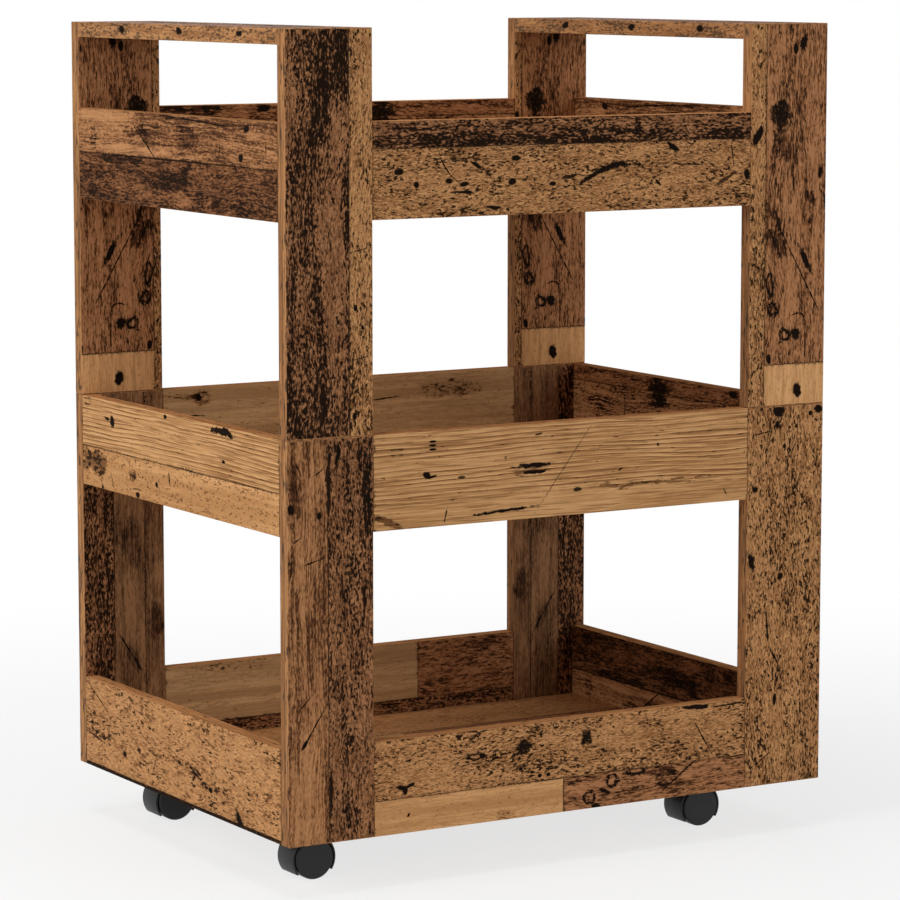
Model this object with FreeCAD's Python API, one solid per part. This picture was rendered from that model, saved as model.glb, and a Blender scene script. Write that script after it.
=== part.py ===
import FreeCAD, Part
import math
import os

# Three-tier kitchen cart of 15 mm decor board on four hooded twin-wheel casters.
# Millimetres, +Z up, +X along the long side, -Y is the front.
# The origin is on the floor, under the middle of the frame.

# Overall frame
CART_LENGTH = 600.0
CART_DEPTH = 450.0
CART_HEIGHT = 800.0
BOARD = 15.0
POST_WIDTH = 90.0
RAIL_HEIGHT = 90.0
HANDLE_GAP = 70.0

# Joints between the boards
DOWEL_DIAMETER = 8.0
DOWEL_LENGTH = 30.0
DOWEL_SIDES = 8
DOWEL_CLEARANCE = 0.1
DOWEL_END_GAP = 0.4
DOWEL_FACE_DEPTH = 9.0
DOWEL_SPREAD = 50.0
DOWEL_RISE = 50.0
TONGUE_DEPTH = 5.0
TONGUE_THICKNESS = 6.0
TONGUE_CLEARANCE = 0.2
TONGUE_SETBACK = 20.0

# Casters: plate, kingpin and screws
CASTER_HEIGHT = 50.0
CASTER_INSET = 80.0
PLATE_SIZE = 38.0
PLATE_THICKNESS = 1.5
PLATE_CORNER = 4.0
SCREW_SPACING = 28.0
SCREW_DIAMETER = 4.0
SCREW_LENGTH = 12.0
SCREW_HEAD_DIAMETER = 7.0
SCREW_HEAD_HEIGHT = 2.0
SCREW_SIDES = 6
SCREW_CLEARANCE = 0.1
KINGPIN_DIAMETER = 8.0
KINGPIN_LENGTH = 24.0

# Casters: wheels, axle and hood
WHEEL_DIAMETER = 40.0
WHEEL_WIDTH = 11.0
WHEEL_EDGE = 1.5
CASTER_TRAIL = 18.5
AXLE_DIAMETER = 5.0
AXLE_BITE = 8.0
HOOD_WIDTH = 31.0
HOOD_WALL = 2.0
HOOD_GAP = 1.0
WEB_THICKNESS = 12.0
WEB_DROP = 9.0
BOSS_WALL = 3.0
SKIRT_FRONT_ANGLE = -34.0
SKIRT_REAR_ANGLE = 220.0

# Running and seating clearances of the casters
RUNNING_CLEARANCE = 0.05
SEAT_CLEARANCE = 0.02
WHEEL_SIDE_GAP = 0.5
PIN_END_GAP = 0.5
SWIVEL_GAP = 0.3

# Levels and planes that several pieces share
HALF_LENGTH = CART_LENGTH / 2
HALF_DEPTH = CART_DEPTH / 2
FRAME_BOTTOM = CASTER_HEIGHT
HANDLE_BOTTOM = CART_HEIGHT - BOARD
BOTTOM_TIER = FRAME_BOTTOM
TOP_TIER = HANDLE_BOTTOM - HANDLE_GAP - RAIL_HEIGHT
MIDDLE_TIER = (BOTTOM_TIER + TOP_TIER) / 2
POST_JOINT = MIDDLE_TIER + RAIL_HEIGHT
POST_MIDDLE = HALF_LENGTH - POST_WIDTH / 2
POST_INNER_EDGE = HALF_LENGTH - POST_WIDTH
END_INNER_FACE = HALF_LENGTH - BOARD
LONG_INNER_FACE = HALF_DEPTH - BOARD
AXLE_HEIGHT = WHEEL_DIAMETER / 2
WHEEL_INNER_FACE = WEB_THICKNESS / 2 + WHEEL_SIDE_GAP
PLATE_BOTTOM = FRAME_BOTTOM - PLATE_THICKNESS
HOOD_INNER_RADIUS = WHEEL_DIAMETER / 2 + HOOD_GAP
HOOD_OUTER_RADIUS = HOOD_INNER_RADIUS + HOOD_WALL

# Each tray's lower edge, and the signs of the two ends and the two long sides
TIERS = {"bottom": BOTTOM_TIER, "middle": MIDDLE_TIER, "top": TOP_TIER}
ENDS = {"left": -1, "right": 1}
SIDES = {"front": -1, "back": 1}

AXIS_X = FreeCAD.Vector(1, 0, 0)
AXIS_Y = FreeCAD.Vector(0, 1, 0)
AXIS_Z = FreeCAD.Vector(0, 0, 1)


def box(x_limits, y_limits, z_limits):
    """Box between two values on each axis, in either order."""
    low = FreeCAD.Vector(min(x_limits), min(y_limits), min(z_limits))
    high = FreeCAD.Vector(max(x_limits), max(y_limits), max(z_limits))
    size = high - low
    return Part.makeBox(size.x, size.y, size.z, low)


def prism(centre, axis, radius, length, sides):
    """Regular prism with its first end at centre, running along axis."""
    across = AXIS_Z if abs(axis.z) < 0.5 else AXIS_X
    normal = axis.cross(across)
    corners = []
    for i in range(sides + 1):
        angle = 2 * math.pi * (i + 0.5) / sides
        corners.append(centre + across * (radius * math.cos(angle)) + normal * (radius * math.sin(angle)))
    return Part.Face(Part.makePolygon(corners)).extrude(axis * length)


def post_board(end, side, z_limits):
    x_limits = (end * HALF_LENGTH, end * POST_INNER_EDGE)
    y_limits = (side * HALF_DEPTH, side * LONG_INNER_FACE)
    return box(x_limits, y_limits, z_limits)


def groove_limits(level):
    """Heights of the groove that takes a tray floor's tongue."""
    middle = level + BOARD / 2
    half = TONGUE_THICKNESS / 2 + TONGUE_CLEARANCE
    return (middle - half, middle + half)


def long_rail(side, level):
    """Rail between two posts, grooved inside for the tray floor."""
    y_inner = side * LONG_INNER_FACE
    groove_bottom = y_inner + side * (TONGUE_DEPTH + TONGUE_CLEARANCE)
    x_limits = (-POST_INNER_EDGE, POST_INNER_EDGE)
    rail = box(x_limits, (side * HALF_DEPTH, y_inner), (level, level + RAIL_HEIGHT))
    return rail.cut(box(x_limits, (y_inner, groove_bottom), groove_limits(level)))


def short_rail(end, level):
    """Rail across a short end, grooved inside for the tray floor."""
    x_inner = end * END_INNER_FACE
    groove_bottom = x_inner + end * (TONGUE_DEPTH + TONGUE_CLEARANCE)
    y_limits = (-LONG_INNER_FACE, LONG_INNER_FACE)
    rail = box((end * HALF_LENGTH, x_inner), y_limits, (level, level + RAIL_HEIGHT))
    return rail.cut(box((x_inner, groove_bottom), y_limits, groove_limits(level)))


def tray_floor(level):
    """Tray floor with a tongue on each edge, cut short of the posts."""
    panel = box(
        (-END_INNER_FACE, END_INNER_FACE),
        (-LONG_INNER_FACE, LONG_INNER_FACE),
        (level, level + BOARD),
    )
    middle = level + BOARD / 2
    tongue_heights = (middle - TONGUE_THICKNESS / 2, middle + TONGUE_THICKNESS / 2)
    long_reach = LONG_INNER_FACE + TONGUE_DEPTH
    end_reach = END_INNER_FACE + TONGUE_DEPTH
    long_tongue = POST_INNER_EDGE - TONGUE_SETBACK
    end_tongue = LONG_INNER_FACE - TONGUE_SETBACK
    along = box((-long_tongue, long_tongue), (-long_reach, long_reach), tongue_heights)
    across = box((-end_reach, end_reach), (-end_tongue, end_tongue), tongue_heights)
    return panel.fuse([along, across]).removeSplitter()


def handle_bar(end):
    x_limits = (end * HALF_LENGTH, end * POST_INNER_EDGE)
    return box(x_limits, (-LONG_INNER_FACE, LONG_INNER_FACE), (HANDLE_BOTTOM, CART_HEIGHT))


def make_boards():
    """Every board of the frame by name, before its dowel holes."""
    boards = {}
    for side_name, side in SIDES.items():
        for end_name, end in ENDS.items():
            corner = side_name + "_" + end_name
            boards[corner + "_lower_post"] = post_board(end, side, (FRAME_BOTTOM, POST_JOINT))
            boards[corner + "_upper_post"] = post_board(end, side, (POST_JOINT, CART_HEIGHT))
    for tier, level in TIERS.items():
        boards[tier + "_floor"] = tray_floor(level)
        for side_name, side in SIDES.items():
            boards[tier + "_" + side_name + "_rail"] = long_rail(side, level)
        for end_name, end in ENDS.items():
            boards[tier + "_" + end_name + "_rail"] = short_rail(end, level)
    for end_name, end in ENDS.items():
        boards[end_name + "_handle_bar"] = handle_bar(end)
    return boards


def post_at(side_name, end_name, tier):
    """Name of the post board that a tray's rails meet at one corner."""
    half = "_upper_post" if tier == "top" else "_lower_post"
    return side_name + "_" + end_name + half


def dowel_joints():
    """Each dowel as its point on the joint, its direction, its depth past the joint and its two boards."""
    joints = []
    even = DOWEL_LENGTH / 2
    spread = (-DOWEL_SPREAD / 2, DOWEL_SPREAD / 2)
    for side_name, side in SIDES.items():
        y_post = side * (HALF_DEPTH - BOARD / 2)
        y_face = side * LONG_INNER_FACE
        for end_name, end in ENDS.items():
            corner = side_name + "_" + end_name
            for shift in spread:
                x_dowel = end * POST_MIDDLE + shift
                point = FreeCAD.Vector(x_dowel, y_post, POST_JOINT)
                joints.append((point, AXIS_Z, even, corner + "_lower_post", corner + "_upper_post"))
                point = FreeCAD.Vector(x_dowel, y_face, CART_HEIGHT - BOARD / 2)
                joints.append(
                    (point, AXIS_Y * side, DOWEL_FACE_DEPTH, end_name + "_handle_bar", corner + "_upper_post")
                )
            for tier, level in TIERS.items():
                post = post_at(side_name, end_name, tier)
                z_dowel = level + DOWEL_RISE
                point = FreeCAD.Vector(end * POST_INNER_EDGE, y_post, z_dowel)
                joints.append((point, AXIS_X * end, even, tier + "_" + side_name + "_rail", post))
                point = FreeCAD.Vector(end * (HALF_LENGTH - BOARD / 2), y_face, z_dowel)
                joints.append(
                    (point, AXIS_Y * side, DOWEL_FACE_DEPTH, tier + "_" + end_name + "_rail", post)
                )
    return joints


def fit_dowels(boards):
    """Drill both boards of every dowel joint and return the dowels."""
    radius = DOWEL_DIAMETER / 2
    dowels = []
    holes = {name: [] for name in boards}
    for point, direction, depth, first, second in dowel_joints():
        start = point - direction * (DOWEL_LENGTH - depth)
        dowels.append(prism(start, direction, radius, DOWEL_LENGTH, DOWEL_SIDES))
        hole_start = start - direction * DOWEL_END_GAP
        hole_length = DOWEL_LENGTH + 2 * DOWEL_END_GAP
        hole = prism(hole_start, direction, radius + DOWEL_CLEARANCE, hole_length, DOWEL_SIDES)
        holes[first].append(hole)
        holes[second].append(hole)
    for name, tools in holes.items():
        if tools:
            boards[name] = boards[name].cut(tools)
    return Part.makeCompound(dowels)


def caster_places():
    """Name and kingpin point of each caster, on the underside of the frame."""
    places = {}
    for side_name, side in SIDES.items():
        for end_name, end in ENDS.items():
            x_pin = end * (HALF_LENGTH - CASTER_INSET)
            y_pin = side * (HALF_DEPTH - CASTER_INSET)
            places[side_name + "_" + end_name] = FreeCAD.Vector(x_pin, y_pin, 0)
    return places


def screw_points(pin):
    """The four screw axes of one caster plate, at the plate's underside."""
    half = SCREW_SPACING / 2
    points = []
    for x_sign in ENDS.values():
        for y_sign in SIDES.values():
            points.append(pin + FreeCAD.Vector(x_sign * half, y_sign * half, PLATE_BOTTOM))
    return points


def screw_bore(point):
    radius = SCREW_DIAMETER / 2 + SCREW_CLEARANCE
    return prism(point, AXIS_Z, radius, SCREW_LENGTH + SCREW_CLEARANCE, SCREW_SIDES)


def plate_screw(point):
    """Hex-headed screw, head under the plate and shank up into the floor."""
    head_start = point - AXIS_Z * SCREW_HEAD_HEIGHT
    head = prism(head_start, AXIS_Z, SCREW_HEAD_DIAMETER / 2, SCREW_HEAD_HEIGHT, SCREW_SIDES)
    shank = prism(point, AXIS_Z, SCREW_DIAMETER / 2, SCREW_LENGTH, SCREW_SIDES)
    return head.fuse(shank)


def caster_plate(pin):
    """Square steel plate with cut corners, four screw holes and the kingpin's hole."""
    half = PLATE_SIZE / 2
    cut = half - PLATE_CORNER
    outline = [(half, cut), (cut, half), (-cut, half), (-half, cut)]
    outline += [(-x, -y) for x, y in outline]
    corners = [pin + FreeCAD.Vector(x, y, PLATE_BOTTOM) for x, y in outline]
    plate = Part.Face(Part.makePolygon(corners + corners[:1])).extrude(AXIS_Z * PLATE_THICKNESS)
    pin_hole = Part.makeCylinder(
        KINGPIN_DIAMETER / 2 + SEAT_CLEARANCE, PLATE_THICKNESS, pin + AXIS_Z * PLATE_BOTTOM
    )
    return plate.cut([pin_hole] + [screw_bore(point) for point in screw_points(pin)])


def kingpin(pin):
    """Steel pin riveted flush into the plate, on which the hood swivels."""
    foot = pin + AXIS_Z * (FRAME_BOTTOM - KINGPIN_LENGTH)
    return Part.makeCylinder(KINGPIN_DIAMETER / 2, KINGPIN_LENGTH, foot)


def along_y(radius, y_start, y_end, axle):
    """Cylinder on the axle's line between two distances from the caster's middle."""
    return Part.makeCylinder(radius, y_end - y_start, axle + AXIS_Y * y_start, AXIS_Y)


def skirt_opening(axle):
    """Sector under the wheels, where the hood is open."""
    reach = 2 * HOOD_OUTER_RADIUS
    start = axle - AXIS_Y * HOOD_WIDTH
    points = [start]
    middle_angle = (SKIRT_REAR_ANGLE + 360 + SKIRT_FRONT_ANGLE) / 2
    for angle in (SKIRT_REAR_ANGLE, middle_angle, 360 + SKIRT_FRONT_ANGLE):
        turn = math.radians(angle)
        points.append(start + FreeCAD.Vector(math.cos(turn), 0, math.sin(turn)) * reach)
    return Part.Face(Part.makePolygon(points + points[:1])).extrude(AXIS_Y * 2 * HOOD_WIDTH)


def caster_hood(pin, axle):
    """Moulded hood: fender over both wheels, middle web and kingpin boss."""
    half = HOOD_WIDTH / 2
    web_half = WEB_THICKNESS / 2
    fender = along_y(HOOD_OUTER_RADIUS, -half, half, axle)
    fender = fender.cut([along_y(HOOD_INNER_RADIUS, -half, half, axle), skirt_opening(axle)])
    web = along_y(HOOD_OUTER_RADIUS - HOOD_WALL / 2, -web_half, web_half, axle)
    web_bottom = axle.z - WEB_DROP
    below = box(
        (axle.x - HOOD_OUTER_RADIUS, axle.x + HOOD_OUTER_RADIUS),
        (axle.y - web_half, axle.y + web_half),
        (axle.z - HOOD_OUTER_RADIUS, web_bottom),
    )
    boss_top = PLATE_BOTTOM - SWIVEL_GAP
    boss_radius = KINGPIN_DIAMETER / 2 + BOSS_WALL
    boss = Part.makeCylinder(boss_radius, boss_top - axle.z, pin + AXIS_Z * axle.z)
    wheel_room = [
        along_y(HOOD_INNER_RADIUS, web_half, half, axle),
        along_y(HOOD_INNER_RADIUS, -half, -web_half, axle),
    ]
    pin_foot = pin + AXIS_Z * (FRAME_BOTTOM - KINGPIN_LENGTH - PIN_END_GAP)
    pin_bore = Part.makeCylinder(KINGPIN_DIAMETER / 2 + RUNNING_CLEARANCE, KINGPIN_LENGTH, pin_foot)
    axle_bore = along_y(AXLE_DIAMETER / 2 + SEAT_CLEARANCE, -web_half, web_half, axle)
    shell = fender.fuse([web.cut(below), boss.cut(wheel_room)])
    return shell.cut([pin_bore, axle_bore]).removeSplitter()


def axle_reach():
    """Distance from the caster's middle to either end of its axle."""
    return WHEEL_INNER_FACE + AXLE_BITE


def caster_axle(axle):
    return along_y(AXLE_DIAMETER / 2, -axle_reach(), axle_reach(), axle)


def caster_wheel(axle, side):
    """Wheel turned about its axle, with a blind bore and a bevelled outer rim."""
    radius = WHEEL_DIAMETER / 2
    bore = AXLE_DIAMETER / 2 + RUNNING_CLEARANCE
    bore_end = axle_reach() + PIN_END_GAP
    outer = WHEEL_INNER_FACE + WHEEL_WIDTH
    profile = [
        (bore, WHEEL_INNER_FACE),
        (radius, WHEEL_INNER_FACE),
        (radius, outer - WHEEL_EDGE),
        (radius - WHEEL_EDGE, outer),
        (0, outer),
        (0, bore_end),
        (bore, bore_end),
    ]
    points = [axle + FreeCAD.Vector(0, side * y, z) for z, y in profile]
    face = Part.Face(Part.makePolygon(points + points[:1]))
    return face.revolve(axle, AXIS_Y, 360)


def make_casters(nodes):
    """Add the four casters' pieces and return the bores of their screws."""
    plates = []
    kingpins = []
    screws = []
    bores = []
    for name, pin in caster_places().items():
        axle = pin + FreeCAD.Vector(-CASTER_TRAIL, 0, AXLE_HEIGHT)
        nodes[name + "_caster_hood"] = caster_hood(pin, axle)
        nodes[name + "_caster_axle"] = caster_axle(axle)
        for side_name, side in SIDES.items():
            nodes[name + "_caster_" + side_name + "_wheel"] = caster_wheel(axle, side)
        plates.append(caster_plate(pin))
        kingpins.append(kingpin(pin))
        for point in screw_points(pin):
            screws.append(plate_screw(point))
            bores.append(screw_bore(point))
    nodes["caster_plates"] = Part.makeCompound(plates)
    nodes["caster_kingpins"] = Part.makeCompound(kingpins)
    nodes["caster_screws"] = Part.makeCompound(screws)
    return bores


def main():
    nodes = make_boards()
    nodes["wooden_dowels"] = fit_dowels(nodes)
    screw_bores = make_casters(nodes)
    nodes["bottom_floor"] = nodes["bottom_floor"].cut(screw_bores)
    os.makedirs("parts", exist_ok=True)
    for name, shape in nodes.items():
        shape.exportStep("parts/" + name + ".step")


main()
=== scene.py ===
import math

import bmesh
import bpy
from mathutils import Matrix, Vector


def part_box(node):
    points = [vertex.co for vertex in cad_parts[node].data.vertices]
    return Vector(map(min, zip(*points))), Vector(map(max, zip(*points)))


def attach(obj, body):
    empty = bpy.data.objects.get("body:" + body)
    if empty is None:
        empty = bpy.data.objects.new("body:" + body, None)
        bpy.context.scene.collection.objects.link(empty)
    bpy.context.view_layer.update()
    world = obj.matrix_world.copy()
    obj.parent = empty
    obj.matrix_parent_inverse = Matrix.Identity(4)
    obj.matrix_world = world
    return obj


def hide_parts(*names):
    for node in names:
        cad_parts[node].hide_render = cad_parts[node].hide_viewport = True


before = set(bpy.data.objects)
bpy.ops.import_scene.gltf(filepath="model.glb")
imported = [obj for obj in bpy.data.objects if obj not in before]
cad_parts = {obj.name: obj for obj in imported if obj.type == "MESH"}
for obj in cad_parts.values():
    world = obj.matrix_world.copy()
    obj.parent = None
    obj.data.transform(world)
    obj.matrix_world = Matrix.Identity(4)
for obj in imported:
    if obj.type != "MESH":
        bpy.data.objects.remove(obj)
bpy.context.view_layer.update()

MM = 0.001
X_AXIS = Vector((1, 0, 0))
Y_AXIS = Vector((0, 1, 0))
Z_AXIS = Vector((0, 0, 1))

# Camera, fitted to the photo's view: place in metres, turn in degrees, lens and sensor in millimetres
CAMERA_PLACE = (-1.9083, -3.2302, 0.8583)
CAMERA_TURN = (82.661, 0.0, -30.643)
CAMERA_LENS = 151.4
CAMERA_SENSOR = 36.0

# Soft studio light: place, target and width of each panel in metres, and its power in watts
LAMPS = {
    "left_panel": ((-3.5, -0.55, 2.2), (0.0, 0.0, 0.45), 2.2, 87.0),
    "front_panel": ((1.9, -4.0, 1.5), (0.0, 0.0, 0.40), 2.4, 55.0),
    "top_panel": ((-0.3, 0.0, 3.4), (0.0, 0.0, 0.40), 1.8, 46.0),
    "back_panel": ((1.4, 3.8, 1.6), (0.0, 0.0, 0.40), 2.4, 30.0),
}

# Even light, and the floor: size, cells, glow, and the distances where it starts to fade and is white
AMBIENT_LEVEL = 0.11
FLOOR_SIZE = 14.0
FLOOR_CELLS = 8
FLOOR_GLOW = 0.74
SHADOW_REACH = 0.45
WHITE_REACH = 1.5

# Boards, in millimetres
BOARD_BEVEL = 0.7
BOARD_BEVEL_SEGMENTS = 2
BAND_THICKNESS = 1.1
TONGUE_DEPTH = 5.0

# A plank's border nearer than this to the board's border isn't cut, and is a seam only where rails butt
LEAST_STRIP = 1.0

# Knots up to this width are solid, and marks up to this length keep a clean outline
SMALL_KNOT = 13.0
TINY_MARK = 9.0

# Size from which a knot's outline is fully ragged
FULLY_RAGGED = 20.0

# Shine of the boards and of the rails' edges
BOARD_IOR = 1.46
BOARD_GLOSS = 0.05
RAIL_GLOSS = 0.0

# Millimetres of noise kept for each plank, and the noise size at which the third axis doesn't matter
PLANK_STRETCH = 1000.0
FLAT = 1000

# How far apart the edge bands of the boards lie in the noise, for each metre between the boards
BAND_STRETCH = 10

# Distance in metres that stands for no seam
NO_SEAM = 1.0

# Ink of a finish without any
NO_INK = 0.0

# Marks that shift the pattern instead of inking it: towards burnt, or back to clean wood; some worn marks
# are painted light
SOFT_MARKS = {"burnt": 1, "worn": -1}

# Casters, in millimetres and degrees
CASTER_TRAIL = 18.5
WHEEL_RADIUS = 20.0
WHEEL_INNER_FACE = 6.5
WHEEL_OUTER_FACE = 17.5
WHEEL_BORE = 2.55
WHEEL_BORE_END = 15.0
WHEEL_HUB_RADIUS = 7.0
WHEEL_RECESS_RADII = (7.6, 16.4)
WHEEL_RECESS_DEPTH = 1.6
WHEEL_RIM_RADIUS = 17.0
WHEEL_TREAD_END = 15.6
WHEEL_SHOULDER = (18.6, 17.0)
WHEEL_DOME = (12.0, 17.4)
WHEEL_ROUNDING = 0.55
HOOD_HALF_WIDTH = 15.5
HOOD_INNER_RADIUS = 21.0
HOOD_OUTER_RADIUS = 23.0
HOOD_START_ANGLE = -34.0
HOOD_END_ANGLE = 220.0
HOOD_ROUNDING = 0.6
WEB_HALF_THICKNESS = 6.0
WEB_RADIUS = 22.0
WEB_DROP = 9.0
BOSS_TOP = 28.2
BOSS_SHOULDER = 14.5
BOSS_RADIUS = 7.0
BOSS_FOOT_RADIUS = 6.0
PIN_BORE = 4.05
PIN_BORE_END = 5.5
BOSS_TOP_CHAMFER = 0.5
BOSS_SHOULDER_CHAMFER = 1.0
BOSS_FOOT_CHAMFER = 0.8

# Fineness of round meshes, angles in degrees, and the least distances, in metres, between their points
LATHE_STEPS = 72
HOOD_STEPS = 56
WEB_SEGMENTS = 64
ROUNDING_SEGMENTS = 3
WHEEL_EDGE_ANGLE = 28
HOOD_EDGE_ANGLE = 40
SMOOTH_ANGLE = 32
MERGE_DISTANCE = 1e-6
CUT_DISTANCE = 1e-7

CORNERS = ("front_left", "front_right", "back_left", "back_right")

# Colours of the old-wood print, linear
INK = (0.008, 0.004, 0.002, 1)
TAN_PALE = (0.660, 0.340, 0.140, 1)
TAN_LIGHT = (0.520, 0.258, 0.103, 1)
TAN_DEEP = (0.400, 0.187, 0.072, 1)
TAN_RED = (0.290, 0.122, 0.044, 1)
TAN_BROWN = (0.140, 0.056, 0.018, 1)
PINE_PALE = (0.770, 0.439, 0.193, 1)
PINE_LIGHT = (0.620, 0.333, 0.139, 1)
PINE_DEEP = (0.475, 0.237, 0.090, 1)
PINE_LINE = (0.215, 0.090, 0.030, 1)
PALE_LIGHT = (0.760, 0.412, 0.177, 1)
PALE_DEEP = (0.510, 0.250, 0.096, 1)
WEATHERED_LIGHT = (0.680, 0.420, 0.200, 1)
WEATHERED_DEEP = (0.440, 0.252, 0.112, 1)
RED_PALE = (0.490, 0.224, 0.098, 1)
RED_LIGHT = (0.360, 0.158, 0.066, 1)
RED_DEEP = (0.240, 0.098, 0.039, 1)
RED_DARK = (0.065, 0.024, 0.009, 1)
STREAK_PALE = (0.540, 0.262, 0.112, 1)
STREAK_LIGHT = (0.410, 0.190, 0.079, 1)
STREAK_DEEP = (0.240, 0.101, 0.040, 1)
STREAK_DARK = (0.070, 0.026, 0.010, 1)
SOFT_LIGHT = (0.380, 0.192, 0.086, 1)
SOFT_DEEP = (0.225, 0.110, 0.049, 1)
SOFT_DARK = (0.070, 0.031, 0.014, 1)
CHAR_LIGHT = (0.430, 0.198, 0.086, 1)
CHAR_BROWN = (0.250, 0.105, 0.044, 1)
BAND_LIGHT = (0.495, 0.238, 0.095, 1)
BAND_DEEP = (0.310, 0.137, 0.053, 1)
BAND_SPECK = (0.085, 0.048, 0.028, 1)
RAIL_LIGHT = (0.600, 0.285, 0.114, 1)
RAIL_DEEP = (0.430, 0.192, 0.074, 1)
RAIL_LINE = (0.215, 0.092, 0.036, 1)

# Colours of the casters, the hidden hardware and the studio, linear, and the casters' roughness
HOOD_BLACK = (0.012, 0.013, 0.014, 1)
HOOD_WORN = (0.028, 0.029, 0.031, 1)
WHEEL_BLACK = (0.010, 0.010, 0.011, 1)
WHEEL_WORN = (0.026, 0.026, 0.028, 1)
ZINC_DULL = (0.50, 0.51, 0.52, 1)
ZINC_BRIGHT = (0.66, 0.67, 0.68, 1)
BEECH_DEEP = (0.56, 0.38, 0.22, 1)
BEECH_LIGHT = (0.70, 0.51, 0.32, 1)
BEECH_FLECK = (0.34, 0.20, 0.10, 1)
FLOOR_PALE = (0.86, 0.86, 0.86, 1)
WHITE = (1, 1, 1, 1)
HOOD_ROUGHNESS = 0.36
WHEEL_ROUGHNESS = 0.40


class Socket:
    """A socket in a node tree; arithmetic on it adds Math nodes."""

    def __init__(self, nodes, link):
        self.nodes = nodes
        self.link = link

    def math(self, operation, first, second=0.0):
        return self.nodes.node("Math", {"operation": operation}, {0: first, 1: second})

    def __add__(self, other):
        return self.math("ADD", self, other)

    def __radd__(self, other):
        return self.math("ADD", other, self)

    def __sub__(self, other):
        return self.math("SUBTRACT", self, other)

    def __rsub__(self, other):
        return self.math("SUBTRACT", other, self)

    def __mul__(self, other):
        return self.math("MULTIPLY", self, other)

    def __rmul__(self, other):
        return self.math("MULTIPLY", other, self)

    def __truediv__(self, other):
        return self.math("DIVIDE", self, other)

    def __rtruediv__(self, other):
        return self.math("DIVIDE", other, self)

    def __abs__(self):
        return self.math("ABSOLUTE", self)

    def most(self, other):
        return self.math("MAXIMUM", self, other)

    def least(self, other):
        return self.math("MINIMUM", self, other)


class Nodes:
    """A node tree, with short ways to add nodes to it."""

    def __init__(self, tree):
        self.tree = tree

    def plug(self, target, value):
        if isinstance(value, Socket):
            self.tree.links.new(value.link, target)
        else:
            target.default_value = value

    def node(self, kind, settings, sockets, output=0):
        """Adds a node: its settings first, then the values or links of its sockets."""
        node = self.tree.nodes.new("ShaderNode" + kind)
        for key, value in settings.items():
            setattr(node, key, value)
        for key, value in sockets.items():
            self.plug(node.inputs[key], value)
        return Socket(self, node.outputs[output])

    def seen_white(self):
        """1 for rays from the camera, from gloss and through glass, 0 for light."""
        camera = self.node("LightPath", {}, {}, "Is Camera Ray")
        glossy = self.node("LightPath", {}, {}, "Is Glossy Ray")
        return camera.most(glossy).most(self.node("LightPath", {}, {}, "Is Transmission Ray"))


class Finish(Nodes):
    """A material made of nodes, ending in one Principled shader."""

    def __init__(self, name, constants):
        self.material = bpy.data.materials.new(name)
        self.material.use_nodes = True
        super().__init__(self.material.node_tree)
        self.shader = self.tree.nodes["Principled BSDF"]
        for socket, value in constants.items():
            self.shader.inputs[socket].default_value = value

    def step(self, value, low, high):
        """0 at low and 1 at high, smooth between them."""
        return self.node("MapRange", {"interpolation_type": "SMOOTHSTEP"}, {0: value, 1: low, 2: high})

    def mix(self, share, first, second):
        return self.node("Mix", {"data_type": "RGBA"}, {0: share, 6: first, 7: second}, 2)

    def tint(self, colour, other, value, low, high, share=1.0):
        """Turns colour into other as value goes from low to high, by at most the given share."""
        return self.mix(self.step(value, low, high) * share, colour, other)

    def noise(self, place, sizes, detail, rough, layer):
        """Noise with features of the given sizes in millimetres along the three axes of place."""
        stretch = tuple(1 / (size * MM) for size in sizes)
        sockets = {0: place, 1: stretch, 2: (0, 0, layer)}
        spread = self.node("VectorMath", {"operation": "MULTIPLY_ADD"}, sockets)
        sockets = {"Vector": spread, "Scale": 1.0, "Detail": detail, "Roughness": rough}
        return self.node("TexNoise", {}, sockets)

    def part(self, vector, index):
        """The X, Y or Z part of a vector, by its index."""
        return self.node("SeparateXYZ", {}, {0: vector}, index)

    def shade(self, colour, roughness, height, depth):
        """Links colour, roughness and a bump of the given depth in millimetres to the shader."""
        bump = self.node("Bump", {}, {"Strength": 1.0, "Distance": depth * MM, "Height": height})
        self.plug(self.shader.inputs["Base Color"], colour)
        self.plug(self.shader.inputs["Roughness"], roughness)
        self.plug(self.shader.inputs["Normal"], bump)
        return self.material


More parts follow.
